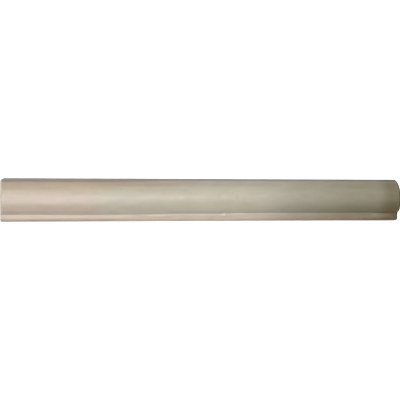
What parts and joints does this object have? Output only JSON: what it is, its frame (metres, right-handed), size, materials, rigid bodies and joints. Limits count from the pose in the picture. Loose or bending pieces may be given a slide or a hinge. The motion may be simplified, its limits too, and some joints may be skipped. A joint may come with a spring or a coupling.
{
  "type": "ceramic border tile",
  "caption": "Straight glazed ceramic border tile, a half-round bead with a flat strip along its lower edge, for finishing and trimming tiled walls.",
  "frame": {"origin": "centre of the tile's box, on the floor that its back rests on", "axes": "+X along the tile, +Y across it from the flat strip towards the upper edge, +Z out of the back towards the crown of the bead"},
  "size_m": [0.2, 0.021, 0.013],
  "materials": {
    "glaze": "glossy"
  },
  "bodies": {
    "root": {"border_tile": "glaze"}
  },
  "joints": []
}
